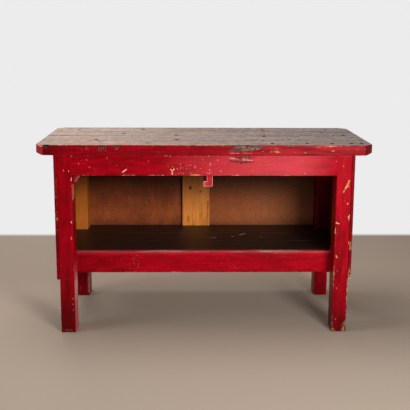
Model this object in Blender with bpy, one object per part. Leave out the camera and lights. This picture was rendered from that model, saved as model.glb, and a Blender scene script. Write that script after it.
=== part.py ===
"""Rustic workbench: a plank worktop on a mortised frame with a shelf, a closed back and a turn catch.

Metres, +Z up, +X along the bench to the right, +Y to the back.
The origin is on the floor, under the middle of the worktop.
"""

import math

import bmesh
import bpy
from mathutils import Vector

# Worktop
HEIGHT = 0.862              # floor to worktop
TOP_WIDTH = 1.479
TOP_DEPTH = 0.686
TOP_THICK = 0.047
TOP_BOARDS = 4
TOP_SEAM = 0.0015           # open seam between two worktop boards
CORNER_CLIP = 0.034         # 45 degree cut at each corner of the worktop
TOP_EASE = 0.003            # worn upper edges of the worktop
BATTEN_WIDTH = 0.070
BATTEN_THICK = 0.035
BATTEN_OFFSET = 0.300       # middle of the bench to the middle of a batten

# Legs
LEG_WIDTH = 0.067
LEG_DEPTH = 0.102
FRONT_OVERHANG = 0.010      # worktop past the front of the legs
BACK_OVERHANG = 0.0244      # worktop past the back of the legs
END_OVERHANG = 0.0895       # worktop past the outer faces of the legs
FOOT_EASE = 0.004

# Rails
APRON_HEIGHT = 0.091
APRON_THICK = 0.030
END_RAIL_HEIGHT = 0.095
END_RAIL_THICK = 0.035
LOWER_RAIL_HEIGHT = 0.080   # lower end rails, lower rear rail and shelf bearer
LOWER_RAIL_THICK = 0.030
FRONT_RAIL_HEIGHT = 0.1006
FRONT_RAIL_THICK = 0.030
BEARER_THICK = 0.040
RAIL_EASE = 0.0015          # broken edges of legs, rails and boards

# Mortise and tenon joints
TENON_THICK = 0.012
TENON_LENGTH = 0.040
TENON_SHOULDER = 0.012      # rail past its tenon, above and below
TENON_EASE = 0.001
STUB_LENGTH = 0.012         # short tenons of the front rail, bearer and post

# Shelf
SHELF_HEIGHT = 0.354        # floor to the upper face of the shelf
SHELF_THICK = 0.020
SHELF_BOARDS = 3
SHELF_SEAM = 0.001

# Panels and post
END_PANEL_THICK = 0.0134
BACK_PANEL_THICK = 0.0055
PANEL_LIP = 0.004           # panels past the lower edge of the rails they are nailed to
BACK_JOINT = 0.002          # open joint between the back panels, behind the post
PANEL_EASE = 0.0008
POST_CENTRE = -0.0322       # X of the post's middle
POST_WIDTH = 0.141
POST_THICK = 0.019
POST_TENON_THICK = 0.008

# Left over from the doors: the gain of a hinge leaf and a stop block
GAIN_DROP = 0.043           # apron to the top of the gain
GAIN_HEIGHT = 0.070
GAIN_WIDTH = 0.065
GAIN_DEPTH = 0.002
STOP_SETBACK = 0.020        # front of the leg to the front of the block
STOP_THICK = 0.022
STOP_REACH = 0.033
STOP_DROP = 0.041
STOP_BLUNT = 0.004

# Turn catch on its screw, behind the front apron
CATCH_X = 0.0216            # X of the middle of the catch's bar
CATCH_WIDTH = 0.0285
CATCH_THICK = 0.012
CATCH_DROP = 0.098          # pivot to the lower end
CATCH_HEAD = 0.020          # pivot to the upper end
CATCH_TOE = 0.0125          # toe past the side of the bar
CATCH_TOE_HEIGHT = 0.0235
CATCH_REBATE = 0.008        # depth of the rebate beside the bar, above the toe
CATCH_SHOULDER = 0.030      # pivot to the top of the thin web behind the rebate
CATCH_CORNER = 0.006        # radius of the heel, toe and shoulder
CATCH_EASE = 0.0008
PIVOT_HEIGHT = 0.045        # lower edge of the apron to the pivot
SCREW_RADIUS = 0.0025
SCREW_BITE = 0.022          # screw inside the apron
SCREW_HEAD_RADIUS = 0.005
SCREW_HEAD_HEIGHT = 0.0035
WASHER_RADIUS = 0.0075
WASHER_THICK = 0.0012

# Clearances
GAP = 0.0003                # between faces that touch
FIT = 0.0003                # round a tenon in its mortise and a screw in its hole
OVERRUN = 0.001             # cutter past the face that it enters
ROUND_STEPS = 24            # sides of a full circle
CORNER_STEPS = 5            # sides of a rounded corner

# Faces that several pieces share
UNDER_TOP = HEIGHT - TOP_THICK
FRAME_TOP = UNDER_TOP - GAP
LEG_OUT = TOP_WIDTH / 2 - END_OVERHANG
LEG_IN = LEG_OUT - LEG_WIDTH
FRONT = -TOP_DEPTH / 2 + FRONT_OVERHANG
FRONT_LEG_BACK = FRONT + LEG_DEPTH
REAR = TOP_DEPTH / 2 - BACK_OVERHANG
REAR_LEG_FRONT = REAR - LEG_DEPTH
APRON_LOW = FRAME_TOP - APRON_HEIGHT
APRON_BACK = FRONT + APRON_THICK
SHELF_UNDER = SHELF_HEIGHT - SHELF_THICK
LOWER_RAIL_TOP = SHELF_UNDER - GAP
LOWER_RAIL_LOW = LOWER_RAIL_TOP - LOWER_RAIL_HEIGHT
FRONT_RAIL_FACE = FRONT_LEG_BACK + GAP
FRONT_RAIL_BACK = FRONT_RAIL_FACE + FRONT_RAIL_THICK
FRONT_RAIL_LOW = SHELF_HEIGHT - FRONT_RAIL_HEIGHT
PANEL_OUT = LEG_OUT + GAP + END_PANEL_THICK
PANEL_LOW = LOWER_RAIL_LOW - PANEL_LIP
SIDES = {"left": -1, "right": 1}

# Colour, roughness and metallic value of each finish
FINISHES = {
    "worktop_wood": ((0.36, 0.27, 0.21), 0.75, 0.0),
    "red_paint": ((0.37, 0.006, 0.012), 0.40, 0.0),
    "bare_pine": ((0.45, 0.22, 0.07), 0.65, 0.0),
    "hardboard": ((0.20, 0.075, 0.03), 0.60, 0.0),
    "shelf_stain": ((0.030, 0.013, 0.008), 0.45, 0.0),
    "steel": ((0.30, 0.28, 0.26), 0.45, 1.0),
}


def clear_scene():
    """Remove the objects that a new file starts with."""
    for item in list(bpy.data.objects):
        bpy.data.objects.remove(item, do_unlink=True)


def finish(name):
    """Material of one finish, made the first time it is asked for."""
    material = bpy.data.materials.get(name)
    if material is None:
        colour, roughness, metallic = FINISHES[name]
        material = bpy.data.materials.new(name)
        material.use_nodes = True
        shader = material.node_tree.nodes["Principled BSDF"]
        shader.inputs["Base Color"].default_value = (*colour, 1.0)
        shader.inputs["Roughness"].default_value = roughness
        shader.inputs["Metallic"].default_value = metallic
        material.diffuse_color = (*colour, 1.0)
    return material


def add_object(name, shape):
    """Turn a closed bmesh into a named object whose faces point outwards."""
    bmesh.ops.recalc_face_normals(shape, faces=shape.faces)
    mesh = bpy.data.meshes.new(name)
    shape.to_mesh(mesh)
    shape.free()
    item = bpy.data.objects.new(name, mesh)
    bpy.context.scene.collection.objects.link(item)
    return item


def rectangle(low, high, ease):
    """Corners of a rectangle whose four corners are cut off by ease."""
    (a0, b0), (a1, b1) = low, high
    return [
        (a0 + ease, b0), (a1 - ease, b0), (a1, b0 + ease), (a1, b1 - ease),
        (a1 - ease, b1), (a0 + ease, b1), (a0, b1 - ease), (a0, b0 + ease),
    ]


def inset(outline, distance):
    """Outline moved inwards by one distance; its corners run anticlockwise."""
    moved = []
    count = len(outline)
    for index in range(count):
        before = Vector(outline[index - 1])
        here = Vector(outline[index])
        after = Vector(outline[(index + 1) % count])
        first = (here - before).normalized()
        second = (after - here).normalized()
        inward = Vector((-first.y, first.x)) + Vector((-second.y, second.x))
        scale = distance / (1.0 + first.dot(second))
        moved.append(tuple(here + inward * scale))
    return moved


def stack(axis, rings):
    """Closed solid through rings of equal count, each an outline at a place along one axis."""
    places = {
        "X": lambda along, a, b: (along, a, b),
        "Y": lambda along, a, b: (a, along, b),
        "Z": lambda along, a, b: (a, b, along),
    }
    shape = bmesh.new()
    loops = []
    for along, outline in rings:
        loops.append([shape.verts.new(places[axis](along, a, b)) for a, b in outline])
    count = len(loops[0])
    for lower, upper in zip(loops, loops[1:]):
        for index in range(count):
            following = (index + 1) % count
            shape.faces.new((lower[index], lower[following], upper[following], upper[index]))
    shape.faces.new(loops[0])
    shape.faces.new(loops[-1])
    return shape


def cut(item, cutter_shape):
    """Take a closed shape out of an object with a Boolean, and keep the result as its mesh."""
    cutter = add_object("cutter", cutter_shape)
    modifier = item.modifiers.new("cut", "BOOLEAN")
    modifier.operation = "DIFFERENCE"
    modifier.solver = "EXACT"
    modifier.object = cutter
    bpy.context.view_layer.update()
    evaluated = item.evaluated_get(bpy.context.evaluated_depsgraph_get())
    result = bpy.data.meshes.new_from_object(evaluated)
    uncut = item.data
    item.modifiers.clear()
    item.data = result
    bpy.data.meshes.remove(uncut)
    bpy.data.objects.remove(cutter, do_unlink=True)


def box_shape(low, high):
    """Plain box between two corners, for cutting."""
    rim = [(low[0], low[1]), (high[0], low[1]), (high[0], high[1]), (low[0], high[1])]
    return stack("Z", [(low[2], rim), (high[2], rim)])


def round_shape(profile, middle):
    """Solid turned about the Y direction through a middle point, from (place along Y, radius) pairs."""
    rings = []
    for along, radius in profile:
        angles = [math.tau * step / ROUND_STEPS for step in range(ROUND_STEPS)]
        circle = [(middle[0] + radius * math.cos(t), middle[1] + radius * math.sin(t)) for t in angles]
        rings.append((along, circle))
    return stack("Y", rings)


pieces = {}


def add_piece(name, shape, finish_name, origin=(0.0, 0.0, 0.0)):
    """Add one named piece of the bench, with its finish, at its origin."""
    item = add_object(name, shape)
    item.data.materials.append(finish(finish_name))
    item.location = origin
    pieces[name] = item
    return item


def mortise(name, tenon):
    """Cut the pocket of a tenon, given as its low and high corners, with clearance all round."""
    low, high = tenon
    cut(pieces[name], box_shape([v - FIT for v in low], [v + FIT for v in high]))


def tenoned(name, axis, shoulders, body, tongue, length, finish_name):
    """Rail along X or Y, or a post along Z, with a tenon past each shoulder.

    body and tongue are (low, high) corners of the cross-section.
    length gives the tenon's length at each end. Returns the tenons' boxes.
    """
    outer = rectangle(*body, RAIL_EASE)
    inner = rectangle(*tongue, TENON_EASE)
    ends = (shoulders[0] - length[0], shoulders[1] + length[1])
    rings = []
    if length[0] > 0:
        rings += [(ends[0], inner), (shoulders[0], inner)]
    rings += [(shoulders[0], outer), (shoulders[1], outer)]
    if length[1] > 0:
        rings += [(shoulders[1], inner), (ends[1], inner)]
    add_piece(name, stack(axis, rings), finish_name)
    slot = "XYZ".index(axis)
    boxes = []
    for inside, outside in zip(shoulders, ends):
        low, high = list(tongue[0]), list(tongue[1])
        low.insert(slot, min(inside, outside))
        high.insert(slot, max(inside, outside))
        boxes.append((low, high))
    return boxes


def tongue_of(body, thick=TENON_THICK):
    """Cross-section of a rail's tenon: in the middle of its thickness, short of its edges."""
    (a0, b0), (a1, b1) = body
    middle = (a0 + a1) / 2
    return (middle - thick / 2, b0 + TENON_SHOULDER), (middle + thick / 2, b1 - TENON_SHOULDER)


def spread(start, end, count, seam):
    """Even widths between two places, with a seam between neighbours, as (low, high) pairs."""
    width = (end - start - (count - 1) * seam) / count
    return [(start + k * (width + seam), start + k * (width + seam) + width) for k in range(count)]


def build_worktop():
    """Boards along the bench; the outer two carry the clipped corners."""
    half = TOP_WIDTH / 2
    edge = TOP_DEPTH / 2
    for number, (low, high) in enumerate(spread(-edge, edge, TOP_BOARDS, TOP_SEAM), start=1):
        front_clip = CORNER_CLIP if number == 1 else 0.0
        back_clip = CORNER_CLIP if number == TOP_BOARDS else 0.0
        outline = []
        for sign_x, y, clip, inward in ((-1, low, front_clip, 1), (1, low, front_clip, 1),
                                        (1, high, back_clip, -1), (-1, high, back_clip, -1)):
            across = (sign_x * (half - clip), y)
            along = (sign_x * half, y + inward * clip)
            leaves_along = sign_x * inward > 0
            pair = [across, along] if leaves_along else [along, across]
            outline += pair if clip else pair[:1]
        rings = [(UNDER_TOP, outline), (HEIGHT - TOP_EASE, outline), (HEIGHT, inset(outline, TOP_EASE))]
        add_piece(f"top_board_{number}", stack("Z", rings), "worktop_wood")
    for side, sign in SIDES.items():
        middle = sign * BATTEN_OFFSET
        section = rectangle((middle - BATTEN_WIDTH / 2, FRAME_TOP - BATTEN_THICK),
                            (middle + BATTEN_WIDTH / 2, FRAME_TOP), RAIL_EASE)
        rings = [(APRON_BACK + GAP, section), (REAR - APRON_THICK - GAP, section)]
        add_piece(f"top_batten_{side}", stack("Y", rings), "bare_pine")


def build_legs():
    """Four square legs with eased feet, before their mortises are cut."""
    for row, y in (("front", FRONT), ("rear", REAR_LEG_FRONT)):
        for side, sign in SIDES.items():
            ends = sorted((sign * LEG_IN, sign * LEG_OUT))
            low, high = (ends[0], y), (ends[1], y + LEG_DEPTH)
            section = rectangle(low, high, RAIL_EASE)
            foot = rectangle((low[0] + FOOT_EASE, low[1] + FOOT_EASE),
                             (high[0] - FOOT_EASE, high[1] - FOOT_EASE), RAIL_EASE)
            rings = [(0.0, foot), (FOOT_EASE, section), (FRAME_TOP, section)]
            add_piece(f"leg_{row}_{side}", stack("Z", rings), "red_paint")


def build_long_rails():
    """Aprons and lower rails along the bench, with their tenons let into the legs."""
    shoulders = (-LEG_IN + GAP, LEG_IN - GAP)
    rails = (
        ("apron_front", "front", FRONT, APRON_THICK, APRON_LOW, FRAME_TOP),
        ("apron_rear", "rear", REAR - APRON_THICK, APRON_THICK, APRON_LOW, FRAME_TOP),
        ("rail_lower_rear", "rear", REAR - LOWER_RAIL_THICK, LOWER_RAIL_THICK,
         LOWER_RAIL_LOW, LOWER_RAIL_TOP),
    )
    for name, row, face, thick, low, high in rails:
        body = (face, low), (face + thick, high)
        tenons = tenoned(name, "X", shoulders, body, tongue_of(body),
                         (TENON_LENGTH, TENON_LENGTH), "red_paint")
        for side, tenon in zip(SIDES, tenons):
            mortise(f"leg_{row}_{side}", tenon)


def build_end_rails():
    """Upper and lower rails from front leg to rear leg, flush with the legs' outer faces."""
    shoulders = (FRONT_LEG_BACK + GAP, REAR_LEG_FRONT - GAP)
    levels = {
        "upper": (FRAME_TOP - END_RAIL_HEIGHT, FRAME_TOP),
        "lower": (LOWER_RAIL_LOW, LOWER_RAIL_TOP),
    }
    for level, (low, high) in levels.items():
        for side, sign in SIDES.items():
            ends = sorted((sign * (LEG_OUT - END_RAIL_THICK), sign * LEG_OUT))
            body = (ends[0], low), (ends[1], high)
            tenons = tenoned(f"end_rail_{level}_{side}", "Y", shoulders, body, tongue_of(body),
                             (TENON_LENGTH, TENON_LENGTH), "bare_pine")
            for row, tenon in zip(("front", "rear"), tenons):
                mortise(f"leg_{row}_{side}", tenon)


def build_front_rail():
    """Lower front rail behind the front legs, stub-tenoned into the lower end rails."""
    inner = LEG_OUT - END_RAIL_THICK
    shoulders = (-inner + GAP, inner - GAP)
    body = (FRONT_RAIL_FACE, FRONT_RAIL_LOW), (FRONT_RAIL_BACK, SHELF_HEIGHT)
    shared = (FRONT_RAIL_FACE, max(FRONT_RAIL_LOW, LOWER_RAIL_LOW)), (FRONT_RAIL_BACK, LOWER_RAIL_TOP)
    tenons = tenoned("rail_lower_front", "X", shoulders, body, tongue_of(shared),
                     (STUB_LENGTH, STUB_LENGTH), "red_paint")
    for side, tenon in zip(SIDES, tenons):
        mortise(f"end_rail_lower_{side}", tenon)


def build_shelf():
    """Bearer under the middle of the shelf, and boards; the rear board is notched round the legs."""
    shoulders = (FRONT_RAIL_BACK + GAP, REAR - LOWER_RAIL_THICK - GAP)
    body = (-BEARER_THICK / 2, max(FRONT_RAIL_LOW, LOWER_RAIL_LOW)), (BEARER_THICK / 2, LOWER_RAIL_TOP)
    tenons = tenoned("shelf_bearer", "Y", shoulders, body, tongue_of(body),
                     (STUB_LENGTH, STUB_LENGTH), "bare_pine")
    for name, tenon in zip(("rail_lower_front", "rail_lower_rear"), tenons):
        mortise(name, tenon)
    wide = LEG_OUT
    narrow = LEG_IN - GAP
    stop = REAR_LEG_FRONT - GAP
    boards = spread(FRONT_RAIL_BACK + GAP, REAR - GAP, SHELF_BOARDS, SHELF_SEAM)
    for number, (low, high) in enumerate(boards, start=1):
        if high <= stop:
            outline = [(-wide, low), (wide, low), (wide, high), (-wide, high)]
        elif low >= stop:
            outline = [(-narrow, low), (narrow, low), (narrow, high), (-narrow, high)]
        else:
            outline = [(-wide, low), (wide, low), (wide, stop), (narrow, stop),
                       (narrow, high), (-narrow, high), (-narrow, stop), (-wide, stop)]
        rings = [(SHELF_UNDER, outline), (SHELF_HEIGHT - RAIL_EASE, outline),
                 (SHELF_HEIGHT, inset(outline, RAIL_EASE))]
        add_piece(f"shelf_board_{number}", stack("Z", rings), "shelf_stain")


def build_panels():
    """End panels on the legs, back panels on the rear legs, and the post over their joint."""
    for side, sign in SIDES.items():
        ends = sorted((sign * (LEG_OUT + GAP), sign * PANEL_OUT))
        section = rectangle((ends[0], FRONT), (ends[1], REAR), PANEL_EASE)
        rings = [(PANEL_LOW, section), (FRAME_TOP, section)]
        add_piece(f"end_panel_{side}", stack("Z", rings), "red_paint")
        ends = sorted((POST_CENTRE + sign * BACK_JOINT / 2, sign * PANEL_OUT))
        face = REAR + GAP
        section = rectangle((ends[0], face), (ends[1], face + BACK_PANEL_THICK), PANEL_EASE)
        rings = [(PANEL_LOW, section), (FRAME_TOP, section)]
        add_piece(f"back_panel_{side}", stack("Z", rings), "hardboard")
    low = (POST_CENTRE - POST_WIDTH / 2, REAR - POST_THICK)
    high = (POST_CENTRE + POST_WIDTH / 2, REAR)
    middle = REAR - POST_THICK / 2
    tongue = ((low[0] + TENON_SHOULDER, middle - POST_TENON_THICK / 2),
              (high[0] - TENON_SHOULDER, middle + POST_TENON_THICK / 2))
    tenons = tenoned("centre_post", "Z", (SHELF_HEIGHT + GAP, APRON_LOW - GAP), (low, high), tongue,
                     (0.0, STUB_LENGTH), "bare_pine")
    mortise("apron_rear", tenons[1])


def build_door_remains():
    """Gain of a hinge leaf in the left front leg, and the stop block under the apron beside it."""
    gain_top = APRON_LOW - GAIN_DROP
    cut(pieces["leg_front_left"],
        box_shape((-LEG_IN - GAIN_DEPTH, FRONT - OVERRUN, gain_top - GAIN_HEIGHT),
                  (-LEG_IN + OVERRUN, FRONT + GAIN_WIDTH, gain_top)))
    x = -LEG_IN + GAP
    z = APRON_LOW - GAP
    outline = [(x, z - STOP_DROP), (x + STOP_BLUNT, z - STOP_DROP), (x + STOP_REACH, z - STOP_BLUNT),
               (x + STOP_REACH, z), (x, z)]
    face = FRONT + STOP_SETBACK
    rings = [(face, inset(outline, RAIL_EASE)), (face + RAIL_EASE, outline), (face + STOP_THICK, outline)]
    add_piece("stop_block", stack("Y", rings), "red_paint")


def arc(middle, radius, start, end, steps):
    """Points of an arc between two angles in degrees."""
    angles = [math.radians(start + (end - start) * step / steps) for step in range(steps + 1)]
    return [(middle[0] + radius * math.cos(t), middle[1] + radius * math.sin(t)) for t in angles]


def catch_outline(step):
    """Bar with a round head, seen from the front, that is wider on the left below a step.

    Zero is on the bar's middle line, at the pivot's height.
    """
    half = CATCH_WIDTH / 2
    r = CATCH_CORNER
    toe = -half - CATCH_TOE
    outline = arc((half - r, -CATCH_DROP + r), r, -90, 0, CORNER_STEPS)
    outline += arc((0.0, CATCH_HEAD - half), half, 0, 180, ROUND_STEPS // 2)
    outline += arc((-half - r, step + r), r, 0, -90, CORNER_STEPS)
    outline += arc((toe + r, step - r), r, 90, 180, CORNER_STEPS)
    outline += arc((toe + r, -CATCH_DROP + r), r, 180, 270, CORNER_STEPS)
    return outline


def middle_of_mass(layers):
    """First coordinate of the centre of mass of flat layers, each an outline and its thickness.

    Uses the shoelace rule, weighted by thickness.
    """
    mass = 0.0
    moment = 0.0
    for outline, thick in layers:
        for (x0, y0), (x1, y1) in zip(outline, outline[1:] + outline[:1]):
            cross = (x0 * y1 - x1 * y0) * thick
            mass += cross / 2
            moment += (x0 + x1) * cross / 6
    return moment / mass


def build_catch():
    """Hooked catch that hangs on its screw, with the pivot straight above its centre of mass.

    It is cut from a plate: a rebate beside the bar leaves a thin web, with the toe proud below it.
    """
    toe_top = -CATCH_DROP + CATCH_TOE_HEIGHT
    plate = catch_outline(-CATCH_SHOULDER)
    lean = middle_of_mass([(catch_outline(toe_top), CATCH_REBATE), (plate, CATCH_THICK - CATCH_REBATE)])
    outline = [(x - lean, z) for x, z in plate]
    pivot = (CATCH_X + lean, APRON_LOW + PIVOT_HEIGHT)
    front = APRON_BACK + GAP
    back = front + CATCH_THICK
    rings = [(0.0, inset(outline, CATCH_EASE)), (CATCH_EASE, outline),
             (CATCH_THICK - CATCH_EASE, outline), (CATCH_THICK, inset(outline, CATCH_EASE))]
    add_piece("catch", stack("Y", rings), "red_paint", origin=(pivot[0], front, pivot[1]))
    bar_side = CATCH_X - CATCH_WIDTH / 2
    shoulder = pivot[1] - CATCH_SHOULDER + CATCH_CORNER
    cut(pieces["catch"],
        box_shape((bar_side - CATCH_TOE - OVERRUN, front - OVERRUN, pivot[1] + toe_top),
                  (bar_side + GAP, front + CATCH_REBATE, shoulder + OVERRUN)))
    hole = SCREW_RADIUS + FIT
    cut(pieces["catch"], round_shape([(front - OVERRUN, hole), (back + OVERRUN, hole)], pivot))

    washer_front = back + GAP
    washer_back = washer_front + WASHER_THICK
    disc = round_shape([(washer_front, WASHER_RADIUS), (washer_back, WASHER_RADIUS)], pivot)
    washer = add_piece("catch_washer", disc, "steel")
    cut(washer, round_shape([(washer_front - OVERRUN, hole), (washer_back + OVERRUN, hole)], pivot))

    head = washer_back + GAP
    tip = APRON_BACK - SCREW_BITE
    dome = [(math.sin(math.radians(t)), math.cos(math.radians(t))) for t in (0, 30, 55, 75)]
    profile = [(tip, SCREW_RADIUS / 2), (tip + SCREW_RADIUS, SCREW_RADIUS), (head, SCREW_RADIUS)]
    profile += [(head + SCREW_HEAD_HEIGHT * rise, SCREW_HEAD_RADIUS * reach) for rise, reach in dome]
    add_piece("catch_screw", round_shape(profile, pivot), "steel")
    bore = [(tip - FIT, hole), (APRON_BACK + OVERRUN, hole)]
    cut(pieces["apron_front"], round_shape(bore, pivot))
    for name in ("catch_washer", "catch_screw"):
        pieces[name].data.shade_smooth()
        pieces[name].data.set_sharp_from_angle(angle=math.radians(40))


clear_scene()
build_worktop()
build_legs()
build_long_rails()
build_end_rails()
build_front_rail()
build_shelf()
build_panels()
build_door_remains()
build_catch()
print(f"{len(pieces)} pieces")
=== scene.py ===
# %% [markdown]
# # A red workbench with a bare plank top
#
# The bench is an old painted frame with a heavy top of four planks, a low shelf, a hardboard back and a turn
# catch that is left from its doors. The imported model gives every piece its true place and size. This lesson
# only dresses it: each board gets worn arrises, knocks and grain, and each finish is worked out by nodes. The
# first step loads the model and keeps its box, because the dressed bench must not grow out of it.

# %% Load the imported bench
import math
import bpy
import numpy as np
from mathutils import Matrix, Vector


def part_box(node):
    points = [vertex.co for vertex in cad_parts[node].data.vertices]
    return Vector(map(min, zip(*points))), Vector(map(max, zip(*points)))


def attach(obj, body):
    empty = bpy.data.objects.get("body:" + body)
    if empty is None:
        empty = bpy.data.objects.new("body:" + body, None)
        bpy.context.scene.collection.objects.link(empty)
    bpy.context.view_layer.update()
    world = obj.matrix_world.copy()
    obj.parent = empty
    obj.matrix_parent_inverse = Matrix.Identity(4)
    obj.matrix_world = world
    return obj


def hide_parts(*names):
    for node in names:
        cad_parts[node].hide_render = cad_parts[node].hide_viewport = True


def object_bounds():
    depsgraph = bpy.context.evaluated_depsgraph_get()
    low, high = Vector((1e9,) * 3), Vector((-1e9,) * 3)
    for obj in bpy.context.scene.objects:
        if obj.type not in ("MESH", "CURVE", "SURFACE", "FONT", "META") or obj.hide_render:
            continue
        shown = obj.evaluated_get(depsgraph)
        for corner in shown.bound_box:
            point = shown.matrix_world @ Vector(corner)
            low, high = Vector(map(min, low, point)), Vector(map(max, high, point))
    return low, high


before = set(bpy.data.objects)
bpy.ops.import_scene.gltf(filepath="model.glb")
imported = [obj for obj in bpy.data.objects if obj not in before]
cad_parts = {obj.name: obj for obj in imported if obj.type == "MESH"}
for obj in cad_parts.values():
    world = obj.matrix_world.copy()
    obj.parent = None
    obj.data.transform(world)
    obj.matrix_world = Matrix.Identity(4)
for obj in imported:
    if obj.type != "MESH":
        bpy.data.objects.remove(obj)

cad_low, cad_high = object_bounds()
print("packed nodes:", len(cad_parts), "box:", [round(v, 4) for v in cad_high - cad_low])

# %% [markdown]
# ## Camera
#
# The photograph was taken from a little under four metres, at about standing height, nearly square on. A
# camera could be aimed with a constraint, but three plain angles say more: how far it turns right, how far it
# looks down and how far the picture leans. The focal length is given in picture points, as it was measured.

# %% Camera
PICTURE_SIDE = 410
FOCAL_POINTS = 837.1
SENSOR = 36.0
EYE = Vector((-0.0743, -3.9642, 1.3402))
TURN_RIGHT, LOOK_DOWN, LEAN = (math.radians(angle) for angle in (1.197, 11.623, 0.251))


def put(name, data):
    """A new object in the scene that shows the given camera, mesh or lamp."""
    thing = bpy.data.objects.new(name, data)
    bpy.context.scene.collection.objects.link(thing)
    return thing


lens = bpy.data.cameras.new("photo_camera")
lens.sensor_width = SENSOR
lens.lens = SENSOR * FOCAL_POINTS / PICTURE_SIDE
camera = put("photo_camera", lens)
turned = Matrix.Rotation(-TURN_RIGHT, 4, "Z") @ Matrix.Rotation(math.pi / 2 - LOOK_DOWN, 4, "X")
camera.matrix_world = Matrix.Translation(EYE) @ turned @ Matrix.Rotation(LEAN, 4, "Z")
bpy.context.scene.camera = camera
bpy.context.scene.view_settings.view_transform = "Standard"
print("lens:", round(lens.lens, 2), "mm")

# %% [markdown]
# ## Finishes are built from nodes
#
# A material is a small network of nodes. Written out in full it is long, so this helper adds a node, sets its
# plain inputs and links the rest in one line. Colours are given as on a paint chart, from 0 to 255, and
# turned into the light values that shaders use. Two steps come up again and again: noise that is drawn out
# along the grain, and a second colour laid over a first where some value is high.


# %% Material helper
def tint(red, green, blue):
    """Chart colour to light value: v / 12.92 near black, otherwise ((v + 0.055) / 1.055) to the power 2.4."""
    share = np.array((red, green, blue)) / 255.0
    light = np.where(share <= 0.04045, share / 12.92, ((share + 0.055) / 1.055) ** 2.4)
    return (*light.tolist(), 1.0)


class Finish:
    """A material or world in the making. Inputs take plain values or the outputs of other nodes."""

    def __init__(self, name, kind="materials", shader="Principled BSDF"):
        self.owner = getattr(bpy.data, kind).new(name)
        self.owner.use_nodes = True
        self.tree = self.owner.node_tree
        self.shader = self.tree.nodes[shader]

    def feed(self, socket, value):
        if isinstance(value, bpy.types.NodeSocket):
            self.tree.links.new(value, socket)
        else:
            socket.default_value = value

    def node(self, kind, output, inputs, **settings):
        made = self.tree.nodes.new("ShaderNode" + kind)
        for name, value in settings.items():
            setattr(made, name, value)
        for key, value in inputs.items():
            self.feed(made.inputs[key], value)
        return made.outputs[output]

    def surface(self, **inputs):
        for name, value in inputs.items():
            self.feed(self.shader.inputs[name.replace("_", " ")], value)
        return self.owner

    def place(self):
        return self.node("TexCoord", "Object", {})

    def field(self, name, output="Fac"):
        return self.node("Attribute", output, {}, attribute_name=name)

    def along(self, vector, axis):
        return self.node("SeparateXYZ", axis, {0: vector})

    def calc(self, operation, *values):
        return self.node("Math", 0, dict(enumerate(values)), operation=operation)

    def times(self, first, second):
        return self.calc("MULTIPLY", first, second)

    def plus(self, value, factor, rest):
        """The value times a factor, added to the rest."""
        return self.calc("MULTIPLY_ADD", value, factor, rest)

    def larger(self, first, second):
        return self.calc("MAXIMUM", first, second)

    def stretch(self, vector, scale, shift=(0.0, 0.0, 0.0)):
        return self.node("VectorMath", 0, {0: vector, 1: scale, 2: shift}, operation="MULTIPLY_ADD")

    def noise(self, vector, scale=1.0, detail=3.0, rough=0.55):
        inputs = {"Vector": vector, "Scale": scale, "Detail": detail, "Roughness": rough}
        return self.node("TexNoise", "Fac", inputs)

    def between(self, value, low, high):
        return self.node("MapRange", 0, {0: value, 1: low, 2: high}, interpolation_type="SMOOTHSTEP")

    def blend(self, share, first, second):
        return self.node("Mix", 2, {0: share, 6: first, 7: second}, data_type="RGBA")

    def lay(self, first, second, value, low, high, share=1.0):
        """The second colour over the first where a value climbs from low to high, up to the given share."""
        return self.blend(self.times(self.between(value, low, high), share), first, second)

    def bump(self, height, distance, strength):
        return self.node("Bump", 0, {"Height": height, "Distance": distance, "Strength": strength})


class WoodFinish(Finish):
    """A finish that follows the grain of its board."""

    def __init__(self, name):
        super().__init__(name)
        self.grain = self.field("grain", "Vector")

    def drawn(self, along, across, detail=3.0, rough=0.55, shift=(0.0, 0.0, 0.0)):
        """Noise with one scale along the grain and another across it."""
        return self.noise(self.stretch(self.grain, (along, across, across), shift), 1.0, detail, rough)


# %% [markdown]
# ## Studio
#
# The bench stands on a plain floor in soft light from the front right. An upright backdrop would hide the
# bench when it is looked at from the back. So the floor is one flat sheet, and from behind the bench outwards
# the camera sees it, like the sky, in one pale colour, which needs no lamp. One lamp at head height lights
# the front, so that the apron shades the top of the back board. A small low one gives the sheen on the right,
# a weak one fills the left end, one hangs over the worktop, one behind the bench lights its back, and a low
# sky keeps shadows open.

# %% Floor and backdrop
FLOOR_REACH, FLOOR_DROP = 14.0, 0.0004
BACKDROP_FROM, BACKDROP_SIDE, BACKDROP_FRONT, BACKDROP_FADE = 1.50, 2.0, -6.5, 0.10
SIDE_SOFT = 0.10             # the floor's sides fade over a way that is longer by one over this share
FLOOR_TINT, BACKDROP = tint(176, 159, 143), tint(236, 236, 237)
SKY = 0.16


def floor_sheet():
    """A square grid of two by two points, just under the feet."""
    x, y = np.meshgrid((-FLOOR_REACH, FLOOR_REACH), (-FLOOR_REACH, FLOOR_REACH))
    points = np.stack((x, y, np.full(x.shape, -FLOOR_DROP)), axis=-1).reshape(-1, 3)
    mesh = bpy.data.meshes.new("floor")
    mesh.from_pydata(points, [], [(0, 1, 3, 2)])
    return mesh


def looked_at(f):
    """1 for rays from the camera, straight or by way of a mirror or glass, and 0 for the rest."""
    rays = [f.node("LightPath", f"Is {kind} Ray", {}) for kind in ("Camera", "Glossy", "Transmission")]
    return f.larger(f.larger(*rays[:2]), rays[2])


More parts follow.
